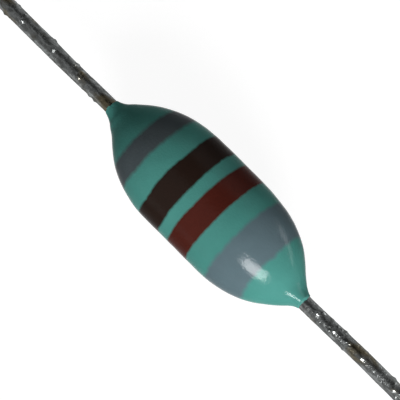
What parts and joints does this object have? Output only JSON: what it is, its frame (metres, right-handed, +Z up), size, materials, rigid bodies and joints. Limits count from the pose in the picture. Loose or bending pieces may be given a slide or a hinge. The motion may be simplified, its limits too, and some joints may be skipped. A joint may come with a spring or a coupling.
{
  "type": "axial inductor",
  "caption": "Axial-leaded choke: a teal epoxy-dipped ferrite drum coil with rounded shoulders, printed colour bands and straight tinned wire leads.",
  "frame": {"origin": "the body's centre, on the axis that the body and both leads share", "axes": "+X along the leads towards the start end, beside the wide first-digit band; +Z up, through the notches in the core's flanges"},
  "size_m": [0.0666, 0.0042, 0.0042],
  "materials": {
    "coat_epoxy": "dipped epoxy, glossy, slightly uneven",
    "ink_slate_grey": "printed ink under the coat's gloss",
    "ink_dark_red": "printed ink, semi-gloss",
    "ink_black": "printed ink, brownish black, semi-gloss",
    "ink_dull_silver": "printed ink with metal pigment, dull",
    "tinned_copper": "hot-dipped tin on copper wire, dull and pitted",
    "ferrite": "sintered, matt, dark grey",
    "enamelled_copper": "enamelled copper wire, close wound, glossy amber",
    "solder": "tin solder, satin",
    "cement": "epoxy adhesive, amber"
  },
  "bodies": {
    "root": {"coating": "coat_epoxy", "band_first_digit": "ink_slate_grey", "band_second_digit": "ink_dark_red", "band_multiplier": "ink_black", "band_tolerance": "ink_dull_silver", "lead_start": "tinned_copper", "lead_finish": "tinned_copper", "drum_core": "ferrite", "winding": "enamelled_copper", "solder_start": "solder", "solder_finish": "solder", "cement_start": "cement", "cement_finish": "cement"}
  },
  "joints": []
}
